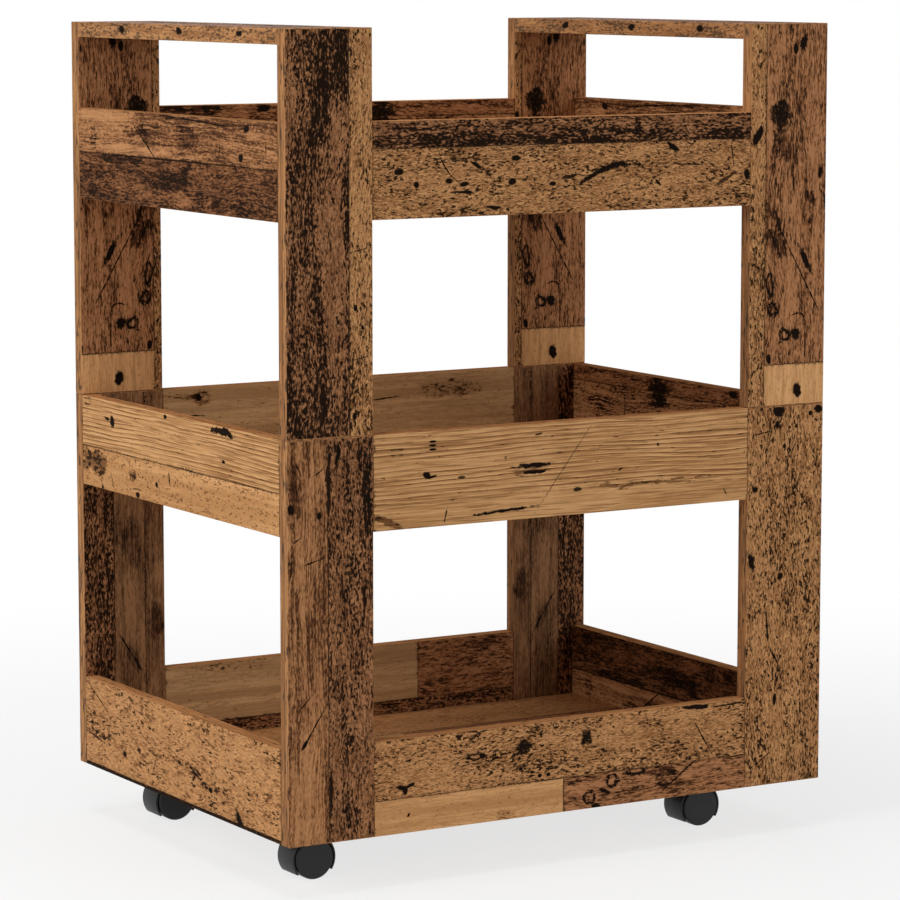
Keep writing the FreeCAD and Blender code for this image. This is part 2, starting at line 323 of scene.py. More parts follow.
class BoardFinish(Finish):
    """A printed board finish, read along and across the grain of each plank."""

    def __init__(self, name, marks, gloss):
        super().__init__(name, {"IOR": BOARD_IOR, "Specular IOR Level": gloss})
        self.place = self.node("Attribute", {"attribute_name": "print_place"}, {}, 1)
        self.across = self.part(self.place, 1) / MM
        self.flow = self.drifted(90, 36, 0.022, 93.5)
        self.wobble = self.drifted(15, 12, 0.006, 95.5)
        self.ragged = self.grain(5.5, 4.0, 3, 0.7, 90.5) - 0.5
        self.lumps = self.grain(13, 9, 2, 0.6, 91.5) - 0.5
        self.fine = self.grain(3.0, 1.7, 1.5, 0.5, 92.5)
        self.marks = marks
        self.burn = self.burnt_spots()

    def grain(self, length, width, detail=3.0, rough=0.55, layer=0.5):
        return self.noise(self.place, (length, width, FLAT), detail, rough, layer)

    def drifted(self, length, width, amount, layer):
        """The place, pushed aside across the grain by a soft noise."""
        drift = (self.grain(length, width, 2, 0.5, layer) - 0.5) * amount
        aside = self.node("CombineXYZ", {}, {1: drift})
        return self.node("VectorMath", {"operation": "ADD"}, {0: self.place, 1: aside})

    def strands(self, length, width, layer):
        """Fine fibres that follow the flow of the grain, from about -0.3 to 0.3."""
        return self.noise(self.flow, (length, width, FLAT), 1.5, 0.5, layer) - 0.5

    def reach(self, mark):
        """Distance from a mark's middle, 1 at its rim."""
        middle = (mark["along"] * MM, mark["across"] * MM, 0)
        scale = (mark["length"] * MM / 2, mark["width"] * MM / 2, 1)
        turn = (0, 0, math.radians(mark["turn"]))
        steady = mark["kind"] == "crack" or mark["length"] <= TINY_MARK
        place = self.place if steady else self.wobble
        sockets = {"Vector": place, "Location": middle, "Rotation": turn, "Scale": scale}
        local = self.node("Mapping", {"vector_type": "TEXTURE"}, sockets)
        if mark["bend"]:
            run, side = self.part(local, 0), self.part(local, 1)
            rise = 2 * mark["bend"] / mark["width"]
            local = self.node("CombineXYZ", {}, {0: run, 1: side - (1 - run * run) * rise})
        return self.node("VectorMath", {"operation": "LENGTH"}, {0: local}, 1)

    def burnt_spots(self):
        """How far the marks push the pattern towards burnt, above 0, or worn clean, below 0; some worn
        marks are painted light.
        """
        burn = 0.0
        for mark in self.marks:
            if mark["kind"] in SOFT_MARKS:
                spot = self.step(self.reach(mark) + self.ragged * 0.8 + self.lumps * 0.8, 1.15, 0.6)
                burn = burn + spot * (mark["strength"] * SOFT_MARKS[mark["kind"]])
        return burn

    def mark_ink(self, mark):
        """How dark a knot, ring or crack makes the print."""
        reach = self.reach(mark)
        if mark["kind"] == "ring":
            arc = self.step(abs(reach + self.lumps + self.ragged - 0.8), 0.40, 0.14)
            return arc * self.step(self.fine, 0.30, 0.42)
        if mark["kind"] == "crack":
            return self.step(reach + self.lumps * 1.2 + self.ragged * 2, 1.1, 0.5)
        rough = min(1.0, math.sqrt(mark["length"] * mark["width"]) / FULLY_RAGGED)
        solid = self.step(reach + (self.lumps * 1.2 + self.ragged * 2.2) * rough, 1.2, 0.8)
        if mark["width"] <= SMALL_KNOT:
            return solid
        return solid * (1 - self.step(self.fine, 0.54, 0.66) * 0.2)

    def seam_ink(self):
        """Dark ragged line where two planks of the print meet."""
        seam = self.node("Attribute", {"attribute_name": "plank_seam"}, {}, 1)
        low, high, end = (self.part(seam, index) for index in range(3))
        gap = low.least(high).least(end) / MM
        worn = self.step(self.grain(60, 60, 2, 0.5, 96.5), 0.40, 0.58)
        line = self.step(gap + self.ragged * 1.6, 0.95, 0.3) * (0.35 + worn * 0.57)
        smoke = self.step(gap + self.grain(34, 9, 4, 0.65, 94.5) * 16, 10.0, 6.5)
        return line.most(smoke * self.step(self.fine, 0.44, 0.54) * 0.9)

    def close(self, colour, ink, height):
        """The tail that all board finishes share: marks, seams, roughness and bump."""
        ink = self.seam_ink().most(ink)
        for mark in self.marks:
            if mark["kind"] not in SOFT_MARKS:
                ink = ink.most(self.mark_ink(mark) * mark["strength"])
        colour = self.mix(ink, colour, INK)
        roughness = 0.58 + ink * 0.16 + self.fine * 0.10
        return self.shade(colour, roughness, height - ink * 0.8, 0.10)


def speckled_tan(wood):
    return specked(wood, (4.4, 1.7), (3.6, 1.35))


def coarse_tan(wood):
    return specked(wood, (7.5, 2.8), (7.0, 2.0))


def specked(wood, dash_size, dab_size):
    """Worm-eaten tan plank: short dark dashes in loose crowds on a warm fibrous ground."""
    tone = wood.grain(60, 18, 4, 0.62, 1.5) - wood.burn * 0.10
    stain = wood.grain(24, 12, 3, 0.6, 7.5)
    crowd = wood.grain(70, 30, 4, 0.62, 5.5) * 0.5 + wood.burn * 0.05
    colour = wood.tint(TAN_DEEP, TAN_LIGHT, tone, 0.36, 0.68)
    colour = wood.tint(colour, TAN_RED, stain, 0.48, 0.68, 0.4)
    colour = wood.tint(colour, TAN_PALE, wood.strands(5.5, 1.35, 3.5), 0.0, 0.09, 0.85)
    colour = wood.tint(colour, TAN_RED, wood.strands(6.5, 1.35, 2.5), 0.04, 0.14, 0.5)
    dabs = wood.strands(*dab_size, 8.5) + stain * 0.3 + crowd * 0.4
    colour = wood.tint(colour, TAN_BROWN, dabs, 0.27, 0.36, 0.85)
    dashes = wood.strands(*dash_size, 9.5) + crowd
    ink = wood.step(dashes, 0.325, 0.39) * 0.94
    blots = wood.grain(13, 8, 4, 0.66, 11.5)
    ink = ink.most(wood.step(blots + crowd * 0.6 + wood.ragged, 0.86, 0.96) * 0.95)
    return colour, ink, wood.fine * 0.6 - dabs


def combed_pine(wood):
    return growth_lines(wood, 4.8)


def fine_pine(wood):
    return growth_lines(wood, 4.4)


def growth_lines(wood, spacing):
    """Golden pine with brown growth lines that wander along the grain."""
    sway = wood.grain(330, 80, 2, 0.5, 21.5)
    ripple = wood.grain(90, 14, 3, 0.6, 23.5)
    phase = wood.across / spacing + sway * 5.0 + ripple * 0.5
    ring = wood.node("Math", {"operation": "FRACT"}, {0: phase})
    fade = wood.step(wood.grain(150, 12, 4, 0.62, 25.5) + wood.burn * 0.4, 0.28, 0.62)
    line = wood.step(ring, 0.54, 0.86) * wood.step(ring, 1.0, 0.93) * fade
    ridge = wood.step(ring, 0.34, 0.06) * wood.step(ring, 0.0, 0.06) * fade
    tone = wood.grain(80, 20, 4, 0.6, 27.5)
    colour = wood.tint(PINE_DEEP, PINE_LIGHT, tone, 0.32, 0.66)
    colour = wood.mix(ridge, colour, PINE_PALE)
    colour = wood.tint(colour, PINE_PALE, wood.grain(40, 1.35, 1.5, 0.5, 29.5), 0.50, 0.60, 0.5)
    colour = wood.tint(colour, PINE_LINE, wood.grain(46, 1.35, 1.5, 0.5, 30.5), 0.53, 0.63, 0.6)
    colour = wood.mix(line * 0.95, colour, PINE_LINE)
    smear = wood.strands(14, 1.5, 32.5) * 2.4 + wood.burn * 0.6
    colour = wood.tint(colour, TAN_BROWN, smear, 0.25, 0.95, 0.9)
    ticks = wood.grain(9, 2.8, 2, 0.5, 31.5)
    ink = wood.step(ticks + line * 0.12 + wood.burn * 0.08, 0.71, 0.79) * 0.85
    return colour, ink, wood.fine * 0.4 - line


def plain_pale(wood):
    return straight_grain(wood, PALE_LIGHT, PALE_DEEP)


def weathered_pale(wood):
    return straight_grain(wood, WEATHERED_LIGHT, WEATHERED_DEEP)


def straight_grain(wood, light, deep):
    """Pale plain plank with fine straight grain and a few specks."""
    bands = wood.grain(260, 8, 3, 0.55, 41.5) - wood.burn * 0.10
    colour = wood.tint(deep, light, bands, 0.30, 0.68)
    fibre = wood.strands(16, 1.4, 43.5)
    colour = wood.tint(colour, deep, fibre, 0.0, 0.15, 0.7)
    grit = wood.strands(4.0, 1.4, 44.5)
    colour = wood.tint(colour, TAN_DEEP, grit, 0.08, 0.18, 0.5)
    mottle = wood.grain(12, 5, 4, 0.66, 45.5)
    scorch = wood.strands(4.5, 1.6, 46.5) + mottle * 0.5 + wood.burn * 0.09
    colour = wood.tint(colour, TAN_BROWN, scorch, 0.42, 0.56, 0.85)
    specks = wood.grain(7, 3.4, 2, 0.5, 47.5)
    ink = wood.step(specks + wood.burn * 0.06, 0.73, 0.80) * 0.85
    return colour, ink, fibre - grit


def red_brown(wood):
    """Red-brown plank of fine strands, with dark dashes and smoky patches."""
    bands = wood.grain(150, 10, 4, 0.62, 51.5) - 0.5
    smoke = wood.grain(50, 15, 4, 0.66, 55.5) - 0.5
    strand = wood.strands(12, 1.4, 53.5)
    grit = wood.strands(4, 1.4, 54.5)
    dark = bands + smoke + strand * 1.6 + grit * 1.5 + wood.burn * 0.16 + 0.07
    colour = wood.tint(RED_PALE, RED_LIGHT, dark, -0.32, 0.06)
    colour = wood.tint(colour, RED_DEEP, dark, -0.02, 0.28)
    colour = wood.tint(colour, RED_DARK, dark, 0.16, 0.48)
    dashes = wood.grain(9, 3.0, 2, 0.5, 57.5)
    ink = wood.step(dashes + smoke * 0.7 + wood.burn * 0.08, 0.62, 0.74) * 0.92
    return colour, ink, -1 * dark


def streaky_brown(wood):
    return streaked(wood, 1.85, 0.09, 0.70)


def soft_streaky(wood):
    return streaked(wood, 1.15, 0.17, 0.82)


def streaked(wood, gain, darkness, ink_start):
    """Medium brown plank of fine strands in long light and dark bands."""
    bands = wood.grain(260, 7, 4, 0.62, 61.5) - 0.5
    tone = wood.grain(70, 30, 4, 0.62, 65.5) - 0.5
    strand = wood.strands(40, 1.4, 63.5)
    grit = wood.strands(4, 1.4, 64.5)
    dark = bands * 1.1 + tone + (strand + grit) * gain + wood.burn * 0.18 + darkness
    colour = wood.tint(STREAK_PALE, STREAK_LIGHT, dark, -0.35, 0.05)
    colour = wood.tint(colour, STREAK_DEEP, dark, -0.05, 0.30)
    colour = wood.tint(colour, STREAK_DARK, dark, 0.14, 0.50)
    smear = wood.grain(54, 9, 4, 0.68, 67.5) + wood.burn * 0.10
    ink = wood.step(smear + dark * 0.5, ink_start, ink_start + 0.16) * 0.92
    return colour, ink, -1 * dark


def smooth_brown(wood):
    """Dark brown plank with soft clouds and fine straight grain."""
    bands = wood.grain(260, 5, 3, 0.6, 101.5) - 0.5
    clouds = wood.grain(60, 22, 4, 0.62, 103.5) - 0.5
    strand = wood.strands(40, 1.4, 105.5)
    grit = wood.strands(5, 1.4, 107.5)
    dark = bands + clouds * 1.4 + strand * 1.1 + grit * 1.2 + wood.burn * 0.2
    colour = wood.tint(SOFT_LIGHT, SOFT_DEEP, dark, -0.40, 0.05)
    colour = wood.tint(colour, SOFT_DARK, dark, 0.0, 0.50)
    ink = wood.step(dark + clouds * 0.5, 0.50, 0.85) * 0.9
    return colour, ink, -1 * dark


def burnt_wood(wood, heat):
    """Charred or smoked plank: black and brown strands, burnt hardest in long patches."""
    patch = wood.grain(120, 26, 4, 0.62, 71.5) - 0.5
    grains = wood.strands(3.8, 1.5, 73.5)
    fibre = wood.strands(36, 2.8, 75.5)
    fire = patch * 1.1 + grains * 2.4 + fibre * 0.9 + wood.burn * 0.24 + heat
    tone = wood.grain(30, 9, 4, 0.64, 77.5) + wood.strands(5, 1.4, 78.5) * 1.2
    colour = wood.tint(CHAR_BROWN, CHAR_LIGHT, tone, 0.34, 0.66)
    colour = wood.tint(colour, RED_DARK, wood.fine, 0.50, 0.62, 0.6)
    colour = wood.tint(colour, RED_DARK, fire, -0.25, 0.10, 0.7)
    ink = wood.step(fire, -0.12, 0.26) * 0.96
    return colour, ink, grains * 0.8 + fibre * 0.4 - patch


def charred(wood):
    return burnt_wood(wood, 0.025)


def smoked(wood):
    return burnt_wood(wood, -0.13)


def sooty(wood):
    """Red-brown plank with soft black clouds and fine strands."""
    clouds = wood.grain(46, 14, 4, 0.66, 121.5) - 0.5
    strand = wood.strands(16, 1.5, 123.5)
    grit = wood.strands(5, 1.4, 125.5)
    soot = clouds * 1.5 + strand * 1.0 + grit * 1.8 + wood.burn * 0.20 + 0.42
    colour = wood.tint(CHAR_LIGHT, RED_LIGHT, soot, -0.55, -0.15)
    colour = wood.tint(colour, RED_DEEP, soot, -0.25, 0.14)
    colour = wood.tint(colour, RED_DARK, soot, 0.08, 0.60)
    ink = wood.step(soot + clouds * 0.4, 0.46, 0.86) * 0.88
    return colour, ink, -1 * soot


def edge_band(wood):
    """Orange-brown edge band with streaks and long dark specks."""
    bands = wood.grain(110, 3.6, 3, 0.6, 81.5)
    fibre = wood.grain(50, 2.2, 2, 0.5, 83.5)
    colour = wood.tint(BAND_DEEP, BAND_LIGHT, bands, 0.38, 0.60)
    colour = wood.tint(colour, BAND_SPECK, fibre, 0.49, 0.60, 0.5)
    specks = wood.grain(13, 2.3, 1, 0.5, 85.5)
    colour = wood.tint(colour, BAND_SPECK, specks, 0.595, 0.65, 0.95)
    return colour, NO_INK, fibre * 0.6


def rail_band(wood):
    """Edge band of the rails: orange with fine brown lines and few specks."""
    bands = wood.grain(110, 4.0, 3, 0.6, 111.5)
    colour = wood.tint(RAIL_DEEP, RAIL_LIGHT, bands, 0.36, 0.62)
    fibre = wood.strands(30, 1.5, 113.5)
    colour = wood.tint(colour, RAIL_LINE, fibre, 0.03, 0.14, 0.6)
    specks = wood.grain(13, 2.3, 1, 0.5, 115.5)
    colour = wood.tint(colour, BAND_SPECK, specks, 0.66, 0.70, 0.9)
    return colour, NO_INK, -1 * fibre


def handle_band(wood):
    """Edge band of the handle bars: mottled orange with short brown dashes in crowds."""
    bands = wood.grain(60, 4.0, 3, 0.6, 86.5)
    crowd = wood.grain(40, 9, 3, 0.6, 87.5)
    dashes = wood.strands(5, 1.7, 88.5) + crowd * 0.7
    colour = wood.tint(BAND_DEEP, BAND_LIGHT, bands, 0.36, 0.62)
    colour = wood.tint(colour, TAN_PALE, wood.strands(6, 1.4, 89.5), 0.0, 0.10, 0.4)
    colour = wood.tint(colour, BAND_SPECK, dashes, 0.32, 0.46, 0.85)
    return colour, NO_INK, -1 * dashes


def mark(kind, along, across, length, width, turn=0.0, strength=1.0, bend=0.0):
    """A knot, ring, crack, burnt patch or worn patch of the print, in millimetres and degrees; some worn
    patches are painted light.
    """
    return {
        "kind": kind, "along": along, "across": across, "length": length, "width": width,
        "turn": turn, "strength": strength, "bend": bend,
    }


PRINTS = {}


def plank(print_name, finish, across, along=None, **marks):
    """Adds a plank to a print: its finish, its limits on the board and its marks by kind."""
    spots = [mark(kind, *place) for kind, places in marks.items() for place in places]
    piece = {"finish": finish, "across": across, "along": along, "marks": spots}
    PRINTS.setdefault(print_name, []).append(piece)


# Limit of a plank that runs past the board's border, also where the print is shifted
OPEN = 120.0

# Planks of the prints, measured in millimetres from the board's low corner
plank("charred_with_tan", charred, (0, 65.6), burnt=[
    (343, 48, 84, 46), (296, 34, 80, 22, 6, 0.9), (190, 62.5, 40, 7, 0, 2.0), (20, 30, 60, 60, 0, 0.4),
], worn=[
    (286, 57, 66, 22, -3, 1.3), (168, 51, 210, 32, 0, 1.1), (90, 14, 120, 16, 0, 0.45),
    (60, 50, 90, 18, 0, 0.5),
])
plank("charred_with_tan", speckled_tan, (65.6, 90), crack=[
    (171, 77, 24, 1.3, 78), (71.7, 77, 24, 1.3, 80),
], knot=[
    (118, 71.7, 6, 4), (100, 79, 5, 3), (18.8, 70.6, 7, 5),
], burnt=[
    (243, 77, 46, 16),
])
plank("streaky_with_smoked", soft_streaky, (0, 42.2), knot=[
    (338.8, 43, 73, 5, 0, 0.95), (314.5, 3.2, 10, 7), (306.7, 33.1, 7, 5), (95, 17, 11, 3.4, 33),
], crack=[
    (348.3, 31.1, 22, 1.8, 57, 1.0, 2.5), (349.3, 12.5, 16, 1.6, -25), (285.8, 10.4, 12, 1.6, 60),
    (264.7, 28, 26, 1.5, 75), (111.5, 28, 54, 2.0, 33), (134, 18, 26, 1.5, 45),
], burnt=[
    (262.8, 3.2, 34, 9, 0, 1.6), (206, 21, 27, 16), (330, 10, 60, 14, 0, 0.8),
], worn=[
    (45, 18, 120, 34, 0, 0.8),
])
plank("streaky_with_smoked", smoked, (42.2, 90), knot=[
    (338.8, 42.5, 73, 6, 0, 0.95), (363.2, 52.4, 24, 4.4), (318, 85, 12, 6), (48, 44, 44, 4, 0, 0.95),
], burnt=[
    (361, 78, 34, 14), (325, 83.3, 84, 11, 0, 1.5), (142, 51, 30, 14, -25), (96, 63, 60, 18),
    (25, 63, 30, 12),
], crack=[
    (261.8, 70.6, 22, 1.9, -18, 1.0, 2),
], ring=[
    (231, 60.7, 13, 7),
], worn=[
    (117, 77, 44, 12, 0, 0.7),
])
plank("smooth_with_smoked", smooth_brown, (21.6, 56.4), burnt=[
    (220, 35, 60, 24, 0, 1.4), (106, 36, 34, 14, 20, 1.2),
], crack=[
    (117, 43.5, 62, 2.0, 32),
], knot=[
    (98, 32, 18, 4, 30, 0.9),
])
plank("smooth_with_smoked", smooth_brown, (0, 21.6), burnt=[
    (138, 9, 40, 18, 0, 2.6), (251, 18, 24, 10, 0, 1.4),
])
plank("smooth_with_smoked", smoked, (56.4, 90), burnt=[(190, 74, 520, 44, 0, 0.7)])
plank("red_with_patch", speckled_tan, (0, 18.2), knot=[(263.8, 8.2, 20, 9, 33)])
plank("red_with_patch", red_brown, (18.2, OPEN), (40.5, None), knot=[
    (284, 36, 30, 21), (353.7, 62, 19, 9, 19), (348, 52.2, 10, 5), (142.5, 66.2, 30, 6.5, -28),
    (70, 54.6, 12, 12), (46.6, 23.2, 10, 6), (227.5, 83.2, 12, 5),
], burnt=[
    (262, 37, 60, 24, -6, 1.6), (161.3, 31, 42, 21, -35, 1.7), (202, 73.5, 20, 8, -40, 1.8),
    (186, 28.6, 34, 8, -31, 1.8), (240.7, 26.8, 38, 9, 0, 1.6),
], crack=[
    (134, 58.5, 145, 1.8, -30), (81.7, 57.6, 22, 2.4, 121.7, 1.0, -8.8), (55, 66.8, 28, 1.8),
    (62.5, 37.7, 14, 2.4, 75), (220.7, 51, 44, 2.2, -2), (224.1, 66.1, 30, 1.8),
], ring=[
    (120.3, 24.4, 25, 9), (94.6, 28, 14, 13), (69.2, 41.9, 14, 13),
])
# The worn patch lightens the pale patch. It is partly painted light, for the back posts' copies, whose
# inner faces stand in the cart's shade
plank("red_with_patch", plain_pale, (18.2, OPEN), (0, 40.5), knot=[
    (14.9, 58.2, 13, 10),
], worn=[
    (20, 60, 80, 140, 0, 0.3),
])
plank("worm_eaten", speckled_tan, (0, 90), knot=[
    (372.1, 36.9, 11, 12), (359.1, 35, 8, 5), (371.9, 85.1, 10, 10), (368.3, 74.8, 5, 5),
    (375.7, 16, 4, 4), (296.5, 9.3, 6, 7), (337.2, 43.7, 5, 4), (224, 6, 20, 9, -20), (208, 40, 8, 6, 30),
    (85, 35, 12, 4),
], crack=[
    (160, 25, 46, 3.2, 175), (130, 33, 28, 3.6, 148), (28, 23, 24, 1.4, 58), (351.3, 15.4, 24, 1.8, 82),
], burnt=[
    (52, 32, 26, 18), (285, 60, 70, 30, 0, 0.8),
])
plank("charred_over_tan", speckled_tan, (0, 64.8), knot=[
    (256.1, 34.0, 68, 5.6, 15.4, 1.0, 7), (212.4, 33.8, 20, 4, 9, 0.95), (329.7, 59.4, 16, 6, -38),
    (392.5, 27.8, 29, 3.8, 27, 0.85), (415.7, 30.9, 7, 11), (312.8, 25.1, 10, 3.4, -50),
    (27.5, 43.5, 10, 6), (46.3, 31, 6, 6), (80.7, 33.6, 8, 5), (98, 30.2, 10, 5),
    (110, 47.1, 13, 3.8, -25), (153.9, 52.7, 9, 5), (149.5, 31.2, 9, 7), (193.9, 27.8, 8, 4),
    (128.6, 7.5, 16, 3), (95.9, 22.8, 25, 3),
], crack=[
    (398.4, 51, 26, 1.7, -82), (351.3, 41.8, 34, 1.9, -2), (82.5, 46.7, 44, 1.9, -52.5, 1.0, -4.9),
], burnt=[
    (372, 46, 60, 26, 0, 0.8),
])
plank("charred_over_tan", charred, (64.8, 90), burnt=[
    (100, 71, 210, 16), (215, 68, 90, 8), (400, 69, 70, 11, 0, 1.1), (289, 78, 8, 30, 0, 1.4),
], worn=[
    (300, 84, 260, 14, 0, 0.7), (40, 87, 120, 7, 0, 0.8),
])
plank("combed", combed_pine, (0, 90), worn=[
    (210, 9, 520, 30, 0.6),
], knot=[
    (175, 50.4, 34, 5.4, 2), (175.6, 44.2, 29, 4), (57, 49, 8, 6, -30), (62, 47.6, 12, 2.6, 8),
    (94.8, 44.4, 8, 3, 0, 0.9), (63.5, 80, 8, 2.4), (63.5, 76.5, 8, 2.4), (63.5, 72.6, 8, 2.4),
    (179.4, 79.8, 9, 2, 10, 0.9), (142.9, 59.6, 3, 4, 0, 0.6), (223.1, 23.9, 9.5, 3.6, 0, 0.95),
    (314.6, 61.2, 3.4, 3.4, 0, 0.9),
], crack=[
    (143.3, 9.7, 84, 3.6, 3.7), (206.4, 44.4, 116, 1.2, 51.7, 0.7), (77.5, 10.3, 18, 1.7, 76),
    (272, 40.3, 9, 2.2, 26), (393.7, 9.3, 8, 2, -55),
], burnt=[
    (15.5, 7.5, 44, 8, -20, 2.3), (312, 24.5, 130, 7, 2, 1.1), (257.7, 25.6, 24, 6),
    (175, 47.5, 56, 14, 1),
])
plank("tan_over_patch", speckled_tan, (33.3, 90), worn=[
    (130, 64, 360, 70, 0, 0.6),
], knot=[
    (33.5, 40.5, 6, 9), (29, 43.5, 10, 4, -15), (39, 45, 10, 4, 20), (164.4, 67.8, 15, 15),
    (118, 64.5, 7, 5), (160.2, 47.5, 5, 4), (181.6, 38.4, 5, 4), (191.4, 38.6, 5, 4),
    (234.4, 70.3, 13, 14), (361, 86.6, 36, 5.5, -4),
], ring=[
    (110, 64, 17, 6),
], crack=[
    (133, 58.2, 15, 2.4, 10, 1.0, 3), (398, 85.5, 54, 2, 1), (369, 57, 62, 1.7, -58),
], burnt=[
    (305, 77.7, 50, 8, -4, 2.0), (330, 55, 70, 26, 0, 0.8),
])
plank("tan_over_patch", plain_pale, (0, 33.3), (0, 208.5), burnt=[
    (143, 4, 24, 12, 0, 1.6),
], knot=[
    (37, 17, 5, 2.4, 60),
])
plank("tan_over_patch", red_brown, (0, 33.3), (208.5, None), ring=[
    (264, 24.3, 14, 13), (237.8, 11.7, 14, 14), (291.5, 30.5, 24, 10),
], knot=[
    (255.4, 15.3, 15, 4, -27), (246, 1, 12, 6, -20),
], crack=[
    (338.5, 18.9, 84, 2.4, 34.7),
], burnt=[
    (328, 21, 42, 26, -36, 2.2), (228, 30, 46, 12, 3, 1.8),
])
plank("pale_over_smoked", weathered_pale, (29, 90), (0, 300), burnt=[
    (60, 86, 130, 16, 0, 1.2), (200, 60, 60, 24, 0, 0.8),
])
plank("pale_over_smoked", red_brown, (29, 90), (300, None))
plank("pale_over_smoked", smoked, (0, 29))
plank("weathered", weathered_pale, (0, 90), burnt=[
    (25, 81, 44, 7, -4, 3.0), (44, 79, 26, 16, 0, 3.2), (150, 40, 110, 26, 0, 0.6),
    (340, 72, 90, 20, 0, 2.4),
], knot=[
    (40.6, 80, 7, 8, 20), (236, 70, 14, 9, 12),
], crack=[
    (39, 61, 22, 1.8, -4), (262, 66, 40, 1.8, 4),
])
plank("red_over_streaky", red_brown, (74, 90), knot=[
    (253, 79, 38, 22), (119, 85, 16, 8),
], burnt=[
    (253, 80, 64, 26, 0, 1.6), (119, 82, 40, 18, 0, 1.2), (20, 82, 110, 30, 0, 2.6),
])
plank("red_over_streaky", streaky_brown, (0, 74), knot=[
    (254, 68, 26, 18), (60, 62, 26, 8),
], burnt=[
    (254, 62, 50, 34, 0, 1.2), (366, 52, 60, 28, 0, 1.2),
], crack=[
    (318, 52, 34, 1.8, 88), (246, 44, 22, 1.8, -70),
])
plank("streaky_over_sooty", sooty, (0, 47), burnt=[
    (225, 26, 110, 20, 0, 1.6), (184, 37, 34, 9, -34, 1.8), (325, 43, 120, 9, 0, 2.0),
    (385, 24, 70, 12, 0, 1.2), (365, 9, 90, 14), (60, 26, 60, 14, 0, 0.8),
], worn=[
    (196, 10, 60, 16, 0, 2.2),
], crack=[
    (210, 46.8, 440, 1.9, 0, 0.95),
])
plank("streaky_over_sooty", soft_streaky, (47, 90), crack=[
    (269, 60, 74, 2.2, 33), (210, 47.2, 440, 1.9, 0, 0.95), (165, 86, 190, 2.0, 2.5),
    (114, 64, 22, 1.4, 86), (22, 62, 34, 1.4, 84),
], burnt=[
    (268, 66, 60, 12, 33), (387, 61, 18, 26, 0, 1.1), (180, 70, 50, 24, 8, 1.2),
    (200, 66, 620, 80, 0, 0.5),
], knot=[
    (60, 83, 12, 7, -20), (72, 55, 9, 8),
], worn=[
    (370, 80, 170, 30, 0, 2.0), (215, 54, 170, 12),
])
plank("pine_over_pale", plain_pale, (0, 40), burnt=[
    (210, 20, 600, 90, 0, 1.2), (304.7, 20.8, 18, 12, 0, 3.4), (384, 26, 50, 28, 0, 3.0),
    (412, 30, 24, 40, 0, 3.0),
], knot=[
    (252.9, 18.7, 6, 5), (225.2, 27.2, 13, 2.6, 80), (294.4, 3.5, 9, 6), (296.7, 9.6, 20, 2.4, 2, 0.7),
    (374, 2, 5, 4),
], crack=[
    (352, 12, 20, 1.5, 66),
])
plank("pine_over_pale", fine_pine, (40, 90), knot=[
    (350.9, 69.7, 10, 11, 10), (363, 72, 12, 3, 10), (232.9, 87, 8, 4), (113.3, 85.4, 46, 7, 2),
    (111.1, 56.9, 7, 3.4),
], burnt=[
    (408, 84, 20, 14, 0, 0.6),
])
plank("worm_eaten_rail", coarse_tan, (3.6, 90), crack=[
    (392, 74, 66, 1.7, 27), (396, 32, 50, 2.4, 8, 0.9), (171, 34, 38, 2.6, 24, 0.95),
    (262, 30, 26, 1.3, -64),
], burnt=[
    (374, 31, 104, 9, 5, 2.4, 4), (203, 40.5, 60, 8, 2, 2.2), (168, 34, 60, 10, 24, 2.0),
    (141, 27.5, 60, 8, 2, 2.2),
], knot=[
    (330, 26, 7, 6), (143, 25, 9, 5), (84, 8, 18, 9, 40),
], worn=[
    (210, 46, 600, 150, 0, 1.2),
])
plank("worm_eaten_rail", charred, (0, 3.6), burnt=[(210, 2, 800, 40, 0, 1.6)])
plank("handle", red_brown, (0, 50), knot=[(110, 30, 8, 6)], burnt=[(210, 30, 700, 120, 0, 1.35)])
plank("handle", streaky_brown, (50, 90), knot=[(300, 66, 8, 7)], burnt=[(210, 60, 700, 120, 0, 1.15)])
# The strong worn patch of the floors' first plank is painted light: it lightens the tan for the lower
# floors, which the trays above shade, and every floor shares it
plank("tray_planks", speckled_tan, (0, 92), knot=[(130, 50, 14, 12)], worn=[(300, 46, 900, 170, 0, 2.5)])
plank("tray_planks", combed_pine, (92, 170), (0, 300), knot=[(210, 120, 10, 7)])
plank("tray_planks", red_brown, (92, 170), (300, None), ring=[(420, 130, 12, 12)])
plank("tray_planks", streaky_brown, (170, 262), crack=[(250, 210, 60, 1.8, 24)])
plank("tray_planks", plain_pale, (262, 330), (210, None), knot=[(400, 296, 11, 9)])
plank("tray_planks", smoked, (262, 330), (0, 210))
# The strong worn patch of the floors' last plank is painted light, as on the first plank
plank("tray_planks", speckled_tan, (330, 420), knot=[
    (420, 370, 12, 12),
], worn=[
    (300, 374, 900, 170, 0, 2.5),
])

# Dark spots on the handle bars' edges: places along a bar, starts of the edges' noise, places across
HANDLE_SPOT_PLACES = (74, 196, 320)
HANDLE_EDGE_STARTS = (-3000, 2100)
HANDLE_SPOT_HEIGHTS = (9, 99)
HANDLE_SPOTS = [
    mark("knot", along + start, height, 12, 7)
    for along in HANDLE_SPOT_PLACES for start in HANDLE_EDGE_STARTS for height in HANDLE_SPOT_HEIGHTS
]

# Length axis, width axis and thickness axis of the kinds of board
POST_AXES = (2, 0, 1)
LONG_RAIL_AXES = (0, 2, 1)
SHORT_RAIL_AXES = (1, 2, 0)
HANDLE_AXES = (1, 0, 2)
TRAY_AXES = (0, 1, 2)

